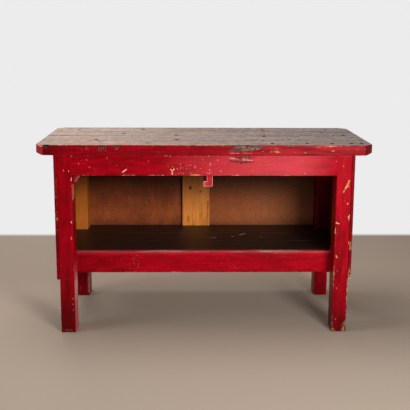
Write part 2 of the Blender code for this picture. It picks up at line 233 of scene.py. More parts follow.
def floor_finish():
    """Floor colour near the bench; past the border, for the camera only, the glow of the backdrop."""
    f = Finish("floor_paper")
    x, y = f.along(f.place(), "X"), f.along(f.place(), "Y")
    aside = f.times(f.calc("SUBTRACT", f.calc("ABSOLUTE", x), BACKDROP_SIDE), SIDE_SOFT)
    behind = f.larger(f.calc("SUBTRACT", y, BACKDROP_FROM), f.calc("SUBTRACT", BACKDROP_FRONT, y))
    seen = f.times(f.between(f.larger(aside, behind), 0.0, BACKDROP_FADE), looked_at(f))
    return f.surface(Base_Color=f.blend(seen, FLOOR_TINT, tint(0, 0, 0)), Emission_Color=BACKDROP,
                     Emission_Strength=seen, Roughness=0.75, Specular_IOR_Level=0.0)


floor = put("floor", floor_sheet())
floor.data.materials.append(floor_finish())

sky = Finish("soft_sky", "worlds", "Background")
bpy.context.scene.world = sky.surface(Color=sky.blend(looked_at(sky), (SKY, SKY, SKY, 1.0), BACKDROP))
print("floor:", 2 * FLOOR_REACH, "m wide, backdrop from", BACKDROP_FROM, "m behind the bench")


# %% Lamps
def lamp(name, place, aim, size, power):
    """Area lamp of the given width and height at a place, facing a point."""
    light = bpy.data.lights.new(name, "AREA")
    light.shape = "RECTANGLE"
    light.size, light.size_y = size
    light.energy = power
    holder = put(name, light)
    holder.location = place
    holder.rotation_euler = (Vector(aim) - Vector(place)).to_track_quat("-Z", "Y").to_euler()


lamp("front_right", (1.35, -3.4, 1.55), (0.0, 0.0, 0.52), (0.9, 0.6), 92.0)
lamp("low_sheen", (0.72, -3.5, 0.30), (0.3, 0.0, 0.75), (0.7, 0.5), 9.0)
lamp("left_fill", (-3.0, -1.3, 2.6), (-0.5, 0.0, 0.6), (1.0, 1.0), 18.0)
lamp("overhead", (-0.8, 0.2, 3.3), (-0.2, 0.0, 0.0), (2.0, 1.6), 54.0)
lamp("behind", (-1.3, 3.6, 1.7), (0.0, 0.3, 0.5), (1.6, 1.2), 40.0)
print("lamps:", len(bpy.data.lights))

# %% [markdown]
# ## A board as a grid of points
#
# Nearly everything on the bench is a board, so one surface does most of the work. A cube with a bevel would
# have the right edges but no points in its faces to dent or to carry wear. Here a section with rounded
# corners is carried along the board in many small steps, and at each end it draws in, so the end arrises are
# round too. The grid then holds a normal and the distance to the nearest arris for each point, which is where
# wear begins.

# %% Noise on a lattice
LATTICE = 97                 # numbers along a side of the random table, after which the noise repeats


def lattice_noise(u, v, seed):
    """Smooth noise from 0 to 1: seeded random numbers stand on the whole-number corners of (u, v), and inside
    a cell the four corners are blended with the weight 3t^2 - 2t^3 along each side."""
    table = np.random.default_rng(seed).random((LATTICE, LATTICE))
    column, row = np.floor(u).astype(int), np.floor(v).astype(int)
    s, t = u - column, v - row
    s, t = s * s * (3.0 - 2.0 * s), t * t * (3.0 - 2.0 * t)
    column, row = column % LATTICE, row % LATTICE
    right, above = (column + 1) % LATTICE, (row + 1) % LATTICE
    near = table[column, row] * (1.0 - s) + table[right, row] * s
    far = table[column, above] * (1.0 - s) + table[right, above] * s
    return near * (1.0 - t) + far * t


# %% Section with rounded corners
ARC_STEPS = 4


def section_run(corners, radius, step):
    """Walk anticlockwise round a polygon. `core` follows the polygon drawn in by the radius, `way` is the
    outward direction, which swings round at an outer corner, and core + radius * way lies on the rounded
    section. At an inner corner `way` is the mitre of its two sides, and `draw` is how far the core moves per
    unit of further inset. A side has an odd number of steps, so that its middle falls between two points.
    `clear` is the distance to the nearest corner."""
    corners = np.asarray(corners, dtype=float)
    side = np.roll(corners, -1, axis=0) - corners
    length = np.linalg.norm(side, axis=1)
    out = np.stack((side[:, 1], -side[:, 0]), axis=1) / length[:, None]
    before = np.roll(out, 1, axis=0)
    mitre = (before + out) / (1.0 + (before * out).sum(axis=1))[:, None]
    centre = corners - radius * mitre
    bend = np.arctan2(before[:, 0] * out[:, 1] - before[:, 1] * out[:, 0], (before * out).sum(axis=1))
    core, way, draw, clear = [], [], [], []
    for k in range(len(corners)):
        swing = np.arctan2(before[k, 1], before[k, 0]) + bend[k] * np.linspace(0.0, 1.0, ARC_STEPS + 1)
        arc = np.stack((np.cos(swing), np.sin(swing)), axis=1) if bend[k] > 0 else mitre[k:k + 1]
        after = (k + 1) % len(corners)
        run = centre[after] - centre[k]
        change = mitre[after] - mitre[k]
        count = 2 * int(np.linalg.norm(run) / step / 2) + 1
        share = np.arange(1, count) / count
        core += [np.repeat(centre[k:k + 1], len(arc), axis=0), centre[k] + share[:, None] * run]
        way += [arc, np.repeat(out[k:k + 1], count - 1, axis=0)]
        draw += [np.repeat(mitre[k:k + 1], len(arc), axis=0), mitre[k] + share[:, None] * change]
        clear += [np.zeros(len(arc)), np.minimum(share, 1.0 - share) * np.linalg.norm(run)]
    return tuple(np.concatenate(parts) for parts in (core, way, draw, clear))


# %% Rings of points
END_COVER = np.array((0.25, 0.55, 0.85))      # rings on an end face, as shares of the way to its middle
LEAST_CORNER = 0.03                           # corner radius that is left on those rings
FIELDS = ("wear", "bare", "grime", "age", "faded")
X, Y, Z = range(3)
LOW, HIGH = range(2)           # the two corners of a box


def unit(value):
    """The value, kept between 0 and 1."""
    return np.clip(value, 0.0, 1.0)


def fall(way, reach):
    """Falls off with the way from 1, as exp(-way / reach)."""
    return np.exp(-np.maximum(way, 0.0) / reach)


class Rings:
    """A board as rings of points along one axis. A ring at inset e is core + (radius - e) * way. At an end, e
    grows by end * (1 - cos t) while the ring moves out by end * sin t, and rings of larger inset cover the
    end face. Their insets follow from the section for a box, and are given as `cover` for a free outline."""

    def __init__(self, node, axis, radius=0.002, ends=(0.001, 0.001), step=0.006, span=None, corners=None,
                 seed=1, cover=(0.0025,)):
        low, high = (np.array(corner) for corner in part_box(node))
        self.node, self.axis, self.seed = node, axis, seed
        self.across = [(axis + 1) % 3, (axis + 2) % 3]
        if span:
            low[axis], high[axis] = span
        start, stop = low[axis], high[axis]
        low, high = low[self.across], high[self.across]
        self.middle, half = (low + high) / 2, (high - low) / 2
        self.boxed, self.flat = corners is None, half[1] <= half[0]
        if self.boxed:
            corners = [(low[0], low[1]), (high[0], low[1]), (high[0], high[1]), (low[0], high[1])]
        cover = END_COVER * half.min() if self.boxed else np.array(cover)
        core, way, draw, clear = section_run(np.array(corners) - self.middle, radius, step)
        turn = np.linspace(0.0, np.pi / 2, ARC_STEPS + 1)[1:]
        back, shrink = 1.0 - np.sin(turn), 1.0 - np.cos(turn)
        count = max(2, round((stop - start) / step))
        body = np.linspace(start + ends[0], stop - ends[1], count)
        caps = [cover[cover > end] for end in ends]
        whole = [np.ones(len(cap)) for cap in caps]
        place = np.concatenate((whole[0] * start, (start + ends[0] * back)[::-1], body,
                                stop - ends[1] * back, whole[1] * stop))
        inset = np.concatenate((caps[0][::-1], ends[0] * shrink[::-1], np.zeros(count),
                                ends[1] * shrink, caps[1]))
        tilt = np.concatenate((whole[0] * -np.pi / 2, -turn[::-1], np.zeros(count),
                               turn, whole[1] * np.pi / 2))
        drawn = np.maximum(inset - radius, 0.0)[:, None, None] * draw
        corner = np.maximum(radius - inset, LEAST_CORNER * radius)[:, None, None] * way
        self.points = np.empty((len(place), len(core), 3))
        self.points[..., axis] = place[:, None]
        self.points[..., self.across] = self.middle + core - drawn + corner
        self.x, self.y, self.z = np.moveaxis(self.points, -1, 0)      # views, which move with the points
        self.normal = np.empty_like(self.points)
        self.normal[..., axis] = np.sin(tilt)[:, None]
        self.normal[..., self.across] = np.cos(tilt)[:, None, None] * way
        to_end = np.minimum(place - start, stop - place)
        on_cap = np.isclose(np.abs(tilt), np.pi / 2)
        self.edge = np.where(on_cap[:, None], inset[:, None], np.minimum(clear, to_end[:, None]))
        self.on_arc = clear == 0.0
        for field in FIELDS:
            setattr(self, field, np.zeros(self.edge.shape))

    def facing(self, axis, sign):
        """1 where the surface faces the given way, falling to 0 round the arris."""
        return unit((self.normal[..., axis] * sign - 0.45) / 0.4)

    def noise(self, along, across, seed=0):
        """Lattice noise with its own scale along the board and across it."""
        u = self.points[..., self.axis] * along
        v = (self.points[..., self.across[0]] + self.points[..., self.across[1]]) * across
        return lattice_noise(u, v, self.seed * 31 + seed)

    def sink(self, depth):
        """Moves each point in, against its normal, by a depth that is never negative."""
        self.points -= self.normal * np.maximum(depth, 0.0)[..., None]


# %% [markdown]
# ## Knocks and wear
#
# Use takes wood off in few ways: pieces break out, things scratch the faces, hands rub the arrises, and small
# knocks land anywhere. Sculpting them by hand could not be repeated, so each is a formula on the points. It
# moves points in where wood is lost, and adds to the values that the finishes read: wear chips the paint,
# bare strips it, the grime and shade value darkens it with dirt and in places with painted shade, the fade
# and sheen value pales it with fading and in places with a painted sheen, and age greys the wood that shows.


# %% Knocks and wear
class WornRings(Rings):
    """Rings of points with the marks of use."""

    def bite(self, centre, radii, bare=0.55, dark=0.0):
        """Knocks out a piece: points inside an ellipsoid go in against their normal until they meet its far
        wall, the larger root of |(p - n t - c) / r| = 1, shortened here and there by noise."""
        offset = (self.points - np.array(centre)) / np.array(radii)
        way = -self.normal / np.array(radii)
        a, b = (way ** 2).sum(-1), (offset * way).sum(-1)
        c = (offset ** 2).sum(-1) - 1.0
        depth = np.where(c < 0.0, (np.sqrt(np.maximum(b * b - a * c, 0.0)) - b) / a, 0.0)
        self.sink(depth * (0.45 + 0.55 * self.noise(130.0, 170.0, 7)))
        inside = unit(-2.0 * c)
        self.bare += bare * inside
        self.age += unit(-4.0 * c)
        self.grime += dark * inside

    def strokes(self, rows, field="wear", plane=(X, Z), face=(Y, -1)):
        """Knocks on the front face, or another. Each row is a stroke from (x0, z0) to (x1, z1) with a half
        width and a strength, which falls off to nothing a little past the half width and is broken up by
        noise."""
        x, z = self.points[..., plane[0]], self.points[..., plane[1]]
        front = self.facing(*face) * (0.6 + 0.8 * self.noise(150.0, 190.0, 14))
        values = getattr(self, field)
        for x0, z0, x1, z1, wide, strength in rows:
            run = np.array((x1 - x0, z1 - z0))
            share = ((x - x0) * run[0] + (z - z0) * run[1]) / max(float(run @ run), 1e-12)
            share = unit(share)
            away = np.hypot(x - x0 - share * run[0], z - z0 - share * run[1])
            values += strength * unit(1.15 - away / wide) * front

    def rub(self, amount, reach=0.004, depth=0.0008):
        """Handling: wear that falls off with the distance from the arris, broken up by noise, and dents."""
        near = fall(self.edge, reach)
        patches = unit(2.4 * self.noise(17.0, 9.0, 1) - 0.75)
        self.wear += amount * near * patches * (0.4 + self.noise(160.0, 90.0, 2))
        self.sink(depth * near * self.noise(90.0, 120.0, 3) + 0.0003 * self.noise(9.0, 40.0, 4))

    def specks(self, count, size=0.0014, strength=0.55):
        """Small round knocks at seeded random points of the grid."""
        random = np.random.default_rng(self.seed + 500)
        spots = self.points.reshape(-1, 3)[random.integers(self.edge.size, size=count)]
        for spot, wide in zip(spots, random.uniform(0.6, 1.5, count) * size):
            away = np.linalg.norm(self.points - spot, axis=-1)
            self.wear += strength * unit(1.5 - away / wide)


# %% From rings to a piece
CREASE = math.radians(36.0)                   # faces that meet more sharply than this keep a hard edge


def ring_quads(rings, around):
    """Numbers of the points in closed rings, the number beside each, and the quads from ring to ring."""
    index = np.arange(rings * around).reshape(rings, around)
    beside = np.roll(index, -1, axis=1)
    quads = np.stack((index[:-1], beside[:-1], beside[1:], index[1:]), axis=-1).reshape(-1, 4)
    return index, beside, quads


class Board(WornRings):
    """Worn rings that become a piece of the bench."""

    def end_face(self, ring):
        """Closes a ring: one face for a free outline; for a box, quads that zip points to mirror points."""
        if not self.boxed:
            return ring[None]
        sides = np.flatnonzero(np.diff(np.append(self.on_arc, self.on_arc[0]).astype(int)) == -1)
        start = (sides[-1] if self.flat else sides[0]) + 1
        length = np.argmax(np.roll(self.on_arc, -start)) or len(ring) - start
        zipped = np.roll(ring, -(start + length // 2))
        left, right = zipped[:len(ring) // 2], zipped[:len(ring) // 2 - 1:-1]
        return np.stack((left[:-1], left[1:], right[1:], right[:-1]), axis=1)

    def grain(self):
        """Place in the log: the way along it, and the two ways out from its heart, which lies off the board's
        wide face and runs a little slantwise to the board, so that the rings make long pointed arches."""
        random = np.random.default_rng(self.seed)
        heart = np.array((random.uniform(-0.05, 0.05), random.choice((-1, 1)) * random.uniform(0.04, 0.10)))
        along = self.points[..., self.axis]
        out = self.points[..., self.across] - self.middle + (heart if self.flat else heart[::-1])
        out = out + along[..., None] * random.uniform(-0.02, 0.02, 2)
        return np.concatenate(((along + random.uniform(-30.0, 30.0))[..., None], out), axis=-1)

    def make(self, material, slot, body="bench", part="worn"):
        """Puts the grid into a mesh: quads between rings, closed end rings, and the fields as attributes."""
        name = f"{self.node}_{part}"
        rings, around = self.edge.shape
        index, _, quads = ring_quads(rings, around)
        ends = self.end_face(index[0])[:, ::-1].tolist() + self.end_face(index[-1]).tolist()
        mesh = bpy.data.meshes.new(name)
        mesh.from_pydata(self.points.reshape(-1, 3), [], quads.tolist() + ends)
        grain = mesh.attributes.new("grain", "FLOAT_VECTOR", "POINT")
        grain.data.foreach_set("vector", self.grain().ravel())
        for field in FIELDS:
            values = mesh.attributes.new(field, "FLOAT", "POINT")
            values.data.foreach_set("value", getattr(self, field).ravel())
        mesh.shade_smooth()
        mesh.set_sharp_from_angle(angle=CREASE)
        mesh.materials.append(material)
        piece = put(name, mesh)
        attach(piece, body)
        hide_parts(self.node)
        print(f"{piece.name}: {rings} rings of {around} points")
        return piece


# %% [markdown]
# ## Softwood
#
# Under the paint, and bare inside, the bench is pine. A wood picture could be pasted on, but a formula fits
# every board. Growth rings are shells round the tree's heart, so a board cut from it shows them as long
# bands: a ring wave on coordinates that are squeezed along the grain, bent a little by noise. Fine fibres are
# noise stretched hard the same way.


# %% Softwood figure
def softwood(f, pale, dark, rings=55.0, banding=0.45):
    """Colour and height of sawn softwood: rings and fibres added, then a blend from pale to dark."""
    squeezed = f.stretch(f.grain, (0.10, 1.0, 1.0))
    inputs = {"Vector": squeezed, "Scale": rings, "Distortion": 3.0, "Detail": 2.0, "Detail Scale": 0.5}
    wave = f.node("TexWave", "Fac", inputs, wave_type="RINGS", rings_direction="X", wave_profile="SAW")
    fibres = f.drawn(9.0, 420.0, 4.0)
    slow = f.drawn(2.2, 16.0, 2.0)
    figure = f.plus(slow, 0.35, f.plus(wave, banding, f.times(fibres, 0.35)))
    return f.lay(pale, dark, figure, 0.22, 0.90), fibres


# %% [markdown]
# ## Red paint
#
# The paint was brushed on over a cream undercoat, and years of knocks have chipped it. A mask drawn by hand
# would be coarse close up, so each board carries only a wear value on its points. Adding a ragged noise to
# that value and cutting it at two levels gives crisp flakes: first the undercoat shows, and deeper the wood.
# A second value fades the paint, first to pink and past 1 to chalk, and in places paints a sheen on it. A
# third darkens corners and feet, with dirt and with painted shade, and the lost paint leaves a step.

# %% Red coat
PAINT, PAINT_DEEP, PAINT_SCUFF = tint(198, 0, 29), tint(136, 0, 12), tint(206, 82, 82)
# Faded pink and chalk also serve as painted sheen, on the apron, the worktop's front edge and the left leg's
# inner face.
PAINT_FADED_AND_SHEEN, PAINT_SHADE, PAINT_CHALK_AND_SHEEN = tint(236, 92, 98), tint(84, 0, 7), tint(230, 172, 164)


def red_coat(f, ragged):
    """The red, from deep to bright by two slow noises; then paled by its fade and sheen field, which is
    fading in some places and a painted sheen in others, shaded by fine grit, chalky where the field and 0.6
    of the grit pass 1.3, and scuffed round the flakes."""
    fade = f.between(f.drawn(2.4, 8.0, 4.0), 0.36, 0.66)
    blotch = f.between(f.drawn(11.0, 62.0, 4.0, 0.6), 0.35, 0.67)
    grit = f.noise(f.grain, 135.0, 5.0, 0.72)
    scuffs = f.between(f.drawn(26.0, 120.0, 5.0, 0.7), 0.58, 0.76)
    red = f.blend(f.plus(fade, 0.5, f.times(blotch, 0.5)), PAINT_DEEP, PAINT)
    red = f.lay(red, PAINT_FADED_AND_SHEEN, grit, 0.20, 0.56, f.field("faded"))
    red = f.lay(red, PAINT_SHADE, grit, 0.50, 0.68, 0.42)
    red = f.lay(red, PAINT_CHALK_AND_SHEEN, f.plus(grit, 0.6, f.field("faded")), 1.30, 1.60)
    rubbed = f.times(f.between(ragged, 0.26, 0.46), 0.35)
    return f.blend(f.plus(scuffs, 0.10, rubbed), red, PAINT_SCUFF)


# %% Paint over undercoat over wood
UNDERCOAT, UNDERCOAT_OCHRE = tint(238, 206, 160), tint(214, 158, 80)
# Dark colour for dirt, and also for painted shade under the worktop, in the catch web and beside the post.
GRIME_AND_SHADE = tint(24, 5, 3)
PAINT_SHINE = 0.06


def painted(f, wood, fibres):
    """Layers by ragged = wear + flake noise: paint below 0.48, undercoat to about 0.87, wood above it, and
    undercoat in small random flecks. Where the wood was never painted, or was scraped bare, the bare field
    plus scrape noise strips paint and undercoat."""
    flakes = f.drawn(120.0, 240.0, 5.0, 0.62)
    ragged = f.calc("ADD", f.field("wear"), f.plus(flakes, 1.5, -0.75))
    flecks = f.plus(f.noise(f.grain, 9.0, 2.0), 0.30, f.noise(f.grain, 300.0, 2.0, 0.6))
    bared = f.larger(f.between(ragged, 0.46, 0.50), f.between(flecks, 0.90, 0.93))
    scrapes = f.drawn(28.0, 170.0, 5.0, 0.65)
    torn = f.calc("ADD", f.field("bare"), f.plus(scrapes, 1.4, -0.7))
    stripped = f.between(torn, 0.42, 0.56)
    gone = f.larger(f.between(ragged, 0.82, 0.92), stripped)
    cream = f.lay(UNDERCOAT, UNDERCOAT_OCHRE, f.noise(f.grain, 42.0, 3.0), 0.40, 0.60)
    colour = f.blend(gone, f.blend(bared, red_coat(f, ragged), cream), wood)
    colour = f.blend(f.field("grime"), colour, GRIME_AND_SHADE)
    brush = f.drawn(7.0, 210.0)
    lost = f.larger(bared, stripped)
    height = f.plus(f.times(gone, fibres), 0.6, f.plus(lost, -0.8, f.times(brush, 0.30)))
    rough = f.plus(lost, 0.38, f.plus(brush, 0.16, 0.26))
    return f.surface(Base_Color=colour, Roughness=rough, Specular_IOR_Level=PAINT_SHINE,
                     Normal=f.bump(height, 0.0007, 0.55))


# %% Paint on pine
PINE_PALE, PINE_DARK = tint(252, 156, 62), tint(194, 100, 32)
OLD_WOOD_PALE, OLD_WOOD_DARK = tint(158, 120, 104), tint(74, 50, 42)


def paint_on_pine():
    """The painted layers over pine, which is grey where the age field is 1."""
    f = WoodFinish("red_paint")
    fresh, fibres = softwood(f, PINE_PALE, PINE_DARK)
    old, _ = softwood(f, OLD_WOOD_PALE, OLD_WOOD_DARK)
    return painted(f, f.blend(f.field("age"), fresh, old), fibres)


red_paint = paint_on_pine()
print("paint nodes:", len(red_paint.node_tree.nodes))

# %% [markdown]
# ## Worktop
#
# The top is bare and weathered: tan and pinkish where it was scrubbed, grey-brown towards the right, with
# dark streaks along the planks. Its lighter left is partly painted light from the left. Its edges still have
# the red paint, and the front one is gouged and scratched. Random wear would put marks anywhere, so those
# that the photograph shows are listed by place, and the rest is noise, with a seed of its own for each plank.

# %% Weathered planks
PLANK_WARM, PLANK_WARM_DARK = tint(194, 168, 154), tint(142, 116, 104)
PLANK_GREY, PLANK_GREY_DARK = tint(182, 162, 155), tint(96, 83, 79)
PLANK_STAIN, PLANK_SCRUBBED, PLANK_TAN = tint(38, 28, 24), tint(220, 206, 198), tint(186, 140, 104)
PLANK_RINGS = 64.0


def weathered_planks():
    """Warm wood that turns grey from left to right, partly the wood's weathering and partly painted light
    falling from the left, then tan patches on the left, mottle, dark dashes and streaks, and pale scrubbed
    marks, each laid over by a noise of its own."""
    f = WoodFinish("worktop_wood")
    warm, fibres = softwood(f, PLANK_WARM, PLANK_WARM_DARK, PLANK_RINGS)
    grey, _ = softwood(f, PLANK_GREY, PLANK_GREY_DARK, PLANK_RINGS)
    x = f.along(f.place(), "X")
    # Painted light together with weathering: the warm, lighter wood on the left gives way to grey on the
    # right.
    right = f.plus(f.drawn(3.0, 9.0, 5.0, 0.65), 1.1, f.plus(x, 0.75, -0.55))
    wood = f.lay(warm, grey, right, -0.45, 0.65)
    left = f.between(x, 0.30, -0.25)
    tan = f.drawn(6.0, 5.0, shift=(2.0, 5.0, 1.0))
    wood = f.lay(wood, PLANK_TAN, tan, 0.54, 0.70, f.times(left, 0.55))
    wood = f.blend(f.times(f.field("faded"), 0.7), wood, PLANK_TAN)
    wood = f.lay(wood, PLANK_GREY_DARK, f.drawn(24.0, 15.0, 7.0, 0.8), 0.42, 0.66, 0.6)
    marked = f.plus(left, -0.35, 0.75)
    dashes = f.drawn(52.0, 17.0, 4.0, 0.6, (3.0, 1.0, 4.0))
    wood = f.lay(wood, PLANK_STAIN, dashes, 0.57, 0.70, marked)
    wood = f.lay(wood, PLANK_STAIN, f.drawn(4.5, 46.0, 6.0, 0.7), 0.54, 0.72, marked)
    worn = f.drawn(22.0, 70.0, 5.0, 0.7, (7.0, 3.0, 1.0))
    wood = f.lay(wood, PLANK_SCRUBBED, worn, 0.58, 0.74, 0.5)
    old, _ = softwood(f, OLD_WOOD_PALE, OLD_WOOD_DARK)
    return painted(f, f.blend(f.field("age"), wood, old), fibres)


worktop_wood = weathered_planks()
print("plank nodes:", len(worktop_wood.node_tree.nodes))


# %% Marks on the worktop
def metres(*rows):
    """Rows of lengths that are listed in millimetres."""
    return np.array(rows) / 1000.0


def marks(*rows):
    """Rows of lengths in millimetres that each end with a strength, which is a plain number."""
    lengths, strength = np.hsplit(np.array(rows), [-1])
    return np.hstack((lengths / 1000.0, strength))


SLAB_FRONT, SLAB_BACK, SLAB_TOP = cad_low[Y], cad_high[Y], cad_high[Z]
# Each bite: its middle, drop from the top, half length, depth, half height and darkness.
SLAB_BITES = marks((222, 8, 28, 11, 22, 0.0), (190, 14, 40, 6, 18, 0.0), (150, 22, 50, 3, 14, 0.0),
                   (165, 6, 60, 3, 10, 0.0), (242, 4, 22, 5, 10, 0.3), (-447, 12, 30, 1.3, 17, 0.28),
                   (-385, 9, 17, 1.2, 11, 0.28))
# The corner bite's darkness is painted shade in the notch.
CORNER_BITE = (-0.690, SLAB_FRONT, SLAB_TOP - 0.003), (0.015, 0.006, 0.012), 0.0, 0.65
CORNER_GLINT = [(SLAB_FRONT + 0.003, 0.8555, SLAB_FRONT + 0.024, 0.8605, 0.0035, 1.9)]
SLAB_MARKS = marks((-72, 851, -72, 838, 3, 0.45), (253, 835, 253, 833, 3, 0.7), (394, 830, 394, 828, 3, 0.7),
                   (437, 829, 440, 828, 3, 0.7), (556, 836, 565, 836, 4, 0.9))
SLAB_SCRATCHES = marks((-463, 838, -461, 853, 2, 1.6), (-452, 836, -451, 850, 1.8, 1.5),
                       (-441, 840, -440, 853, 2, 1.6), (-432, 836, -431, 848, 1.8, 1.4),
                       (-389, 842, -379, 846, 2.5, 1.5), (-535, 836, -536, 846, 1.5, 0.9),
                       (-519, 838, -518, 853, 1.8, 1.1), (-509, 840, -508, 854, 1.5, 0.9),
                       (109, 826, 150, 826, 2.2, 1.5), (165, 826, 205, 826, 2.2, 1.4))
SLAB_NAILS = metres((300, -284), (454.7, -281.5), (565.8, -286.9), (651.6, -278.9), (697.7, -285.2),
                    (-125, -150), (-130, 20), (285, -20), (670, 26), (-386, 90), (-494, -150),
                    (-620, 250), (620, 250), (-300, 260), (300, 255))
# Each patch: its middle, half length, half width and strength.
TAN_PATCHES = marks((-523, -146, 40, 50, 0.9), (-600, -200, 60, 60, 0.5), (-43, -100, 6, 160, 0.5))
print("marks on the worktop:", len(SLAB_BITES) + len(SLAB_MARKS) + len(SLAB_SCRATCHES))

# %% Worktop's front edge
HALF_TOP = cad_high[X]
CLIP = 0.034                 # corner clipped off the worktop, measured along each edge
CORNER_LIFT = 0.009          # how far the lower arris comes up at the outer end of a clip
CHIPPED_TO = 0.10            # the top arris is chipped on the left of this place and dirty on its right


def slab_front(board):
    """Gouges, chips and streaks on the painted front edge. Past the clips the lower arris is rounded off, so
    there the height is squeezed towards the top by a lift that grows as the 1.5th power of the way out."""
    x, z = board.x, board.z
    out = unit((np.abs(x) - HALF_TOP + CLIP) / CLIP)
    z += CORNER_LIFT * out ** 1.5 * (SLAB_TOP - z) / (SLAB_TOP - z.min())
    for middle, drop, wide, deep, tall, dark in SLAB_BITES:
        board.bite((middle, SLAB_FRONT, SLAB_TOP - drop), (wide, deep, tall), 0.55 - 0.4 * dark, dark)
    board.bite(*CORNER_BITE)
    board.strokes(CORNER_GLINT, "faded", (Y, Z), (X, -1))
    board.strokes(SLAB_MARKS)
    board.strokes(SLAB_SCRATCHES, "faded")
    front = board.facing(Y, -1)
    arris = fall(SLAB_TOP - z, 0.004) * front
    board.wear += arris * np.where(x < CHIPPED_TO, 0.5, 0.0)
    darkening = unit(1.6 * board.noise(30.0, 60.0, 15))
    board.grime += 0.55 * arris * (x > CHIPPED_TO) * darkening
    right_half = unit((x - 0.15) / 0.15)
    chips = unit(2.2 * board.noise(16.0, 210.0, 13) - 1.0)
    board.wear += 0.50 * front * right_half * chips
    # Painted sheen: the front face pales a little towards the right.
    board.faded += 0.12 * front * unit(x / 0.3)
    streaks = unit(2.2 * board.noise(11.0, 190.0, 12) - 0.9) * (0.20 + 0.26 * right_half)
    # Painted shade: the front face is darker towards the left and at its left end; the streaks on the right
    # are dirt.
    left_end_shade = 0.30 * np.exp(-((x + 0.70) / 0.05) ** 2)
    board.grime += front * (0.32 - 0.18 * right_half + streaks + left_end_shade)
    # Painted light on the left clip facet, as from a lamp on the left, with a pale worn line along its top
    # arris; the right clip facet is made darker.
    clipped = board.y - SLAB_FRONT < CLIP
    rim = fall(SLAB_TOP - z, 0.003)
    board.faded += (0.25 + 1.1 * rim) * clipped * board.facing(X, -1)
    board.grime += 0.72 * clipped * board.facing(X, 1)


# %% Worktop boards
BOARD_COUNT = 4
BARE = 1.3                   # bare value at which no paint is left
PIT, PIT_RADIUS = 0.0014, 0.006
STAIN_LONG, STAIN_WIDE = 0.0088, 0.0165       # half length and half width of the rust mark round a nail


def slab_nail_pits(board, top):
    """Sunken nail heads: a pit with the profile 1 - d^4 and a rust mark that fades as exp(-d^4)."""
    for x, y in SLAB_NAILS:
        away = np.hypot((board.x - x) / STAIN_LONG, (board.y - y) / STAIN_WIDE)
        near = np.hypot(board.x - x, board.y - y) / PIT_RADIUS
        board.sink(PIT * top * unit(1.0 - near ** 4))
        board.grime += top * unit(1.8 * np.exp(-away ** 4))


def worktop_board(number):
    """A plank of the top. To clip its outer corners, X is scaled to half length - (clip - edge distance)."""
    step = 0.003 if number == 1 else 0.005
    board = Board(f"top_board_{number}", X, 0.0014, (0.002, 0.002), step, seed=number)
    to_edge = np.minimum(board.y - SLAB_FRONT, SLAB_BACK - board.y)
    board.x[:] = board.x * (HALF_TOP - np.maximum(CLIP - to_edge, 0.0)) / HALF_TOP
    top, under = board.facing(Z, 1), board.facing(Z, -1)
    hollows = board.noise(2.6, 9.0, 5) * board.noise(7.0, 30.0, 6)
    board.sink(top * (0.0016 * hollows + 0.0006 * board.noise(6.0, 190.0, 8)))
    board.rub(np.where(top > 0.0, 0.5, 0.2), 0.003, 0.0012)
    board.bare += BARE * np.maximum(top, under)
    board.grime += 0.35 * under
    if number == 1:
        slab_front(board)
    slab_nail_pits(board, top)
    for middle, back, wide, deep, strength in TAN_PATCHES:
        away = np.hypot((board.x - middle) / wide, (board.y - back) / deep)
        board.faded += strength * top * np.exp(-away ** 4)
    joint = (to_edge > 0.02) * 1.0
    sides = joint * np.maximum(board.facing(Y, 1), board.facing(Y, -1))
    board.bare += BARE * sides
    board.grime += 0.25 * joint * top * fall(board.edge, 0.003) + 0.7 * sides
    board.grime += 0.5 * top * fall(SLAB_BACK - board.y, 0.015)
    board.specks(40)
    board.make(worktop_wood, "worktop_wood")


for number in range(1, BOARD_COUNT + 1):
    worktop_board(number)

# %% [markdown]
# ## Legs
#
# The four legs are deeper than wide. The front pair has the most knocks, along the inner arris and at the
# foot, where the paint is kicked away, and the left one has the seat of an old hinge leaf. Cutting the seat
# out with a second solid would spoil the grid, so the points themselves move in. The rear left leg is painted
# only below the shelf and has painted shade under the worktop; the right one is darkened above the shelf with
# painted shade.

# %% Marks on the legs
LEFT_MARKS = marks((-591, 518, -591, 512, 3.5, 0.8), (-593, 446, -593, 438, 3, 0.8),
                   (-593, 163, -593, 157, 3, 0.8), (-596, 136, -595, 131, 3, 0.8),
                   (-592, 112, -592, 106, 3, 0.8), (-597, 745, -596, 742, 3, 0.8),
                   (-619, 749, -618, 746, 3, 0.8), (-640, 13, -600, 11, 3, 0.5))
RIGHT_MARKS = marks((638, 701, 631, 680, 4.5, 0.85), (635, 690, 616, 653, 5, 0.8),
                    (628, 672, 640, 676, 3, 0.7), (636, 601, 636, 597, 5, 0.7),
                    (646, 548, 643, 522, 3, 0.8), (640, 540, 645, 530, 3, 0.8),
                    (588, 512, 600, 508, 4, 0.9), (595, 490, 595, 450, 1.6, 0.7),
                    (648, 424, 648, 416, 3, 0.9), (593, 362, 597, 352, 4, 0.85),
                    (600, 292, 601, 287, 3, 0.7), (630, 291, 631, 288, 3, 0.7),
                    (600, 212, 600, 206, 3, 0.7), (600, 63, 600, 57, 3, 0.7),
                    (636, 2, 640, 40, 16, 0.44), (588, 4, 590, 10, 6, 0.8), (611, 770, 612, 766, 3, 0.8))
LEFT_GLINT = marks((-585, 714, -586, 703, 3.5, 1.6))
REAR_LEFT_EDGE = marks((-587, 20, -587, 245, 6, 1.4))
print("marks on the legs:", len(LEFT_MARKS) + len(RIGHT_MARKS))

# %% Old hinge seat
GAIN_LOW, GAIN_HIGH, GAIN_BACK, GAIN_DEPTH = 0.6107, 0.6807, -0.268, 0.002
GAIN_SNAP, GAIN_EDGE = 0.0013, 0.0002         # points this near the border move up to this close to it
GAIN_HOLES = metres((-314, 661.5), (-287, 661.5), (-314, 630), (-287, 630))
HOLE_RADIUS, HOLE_DEPTH = 0.0035, 0.003


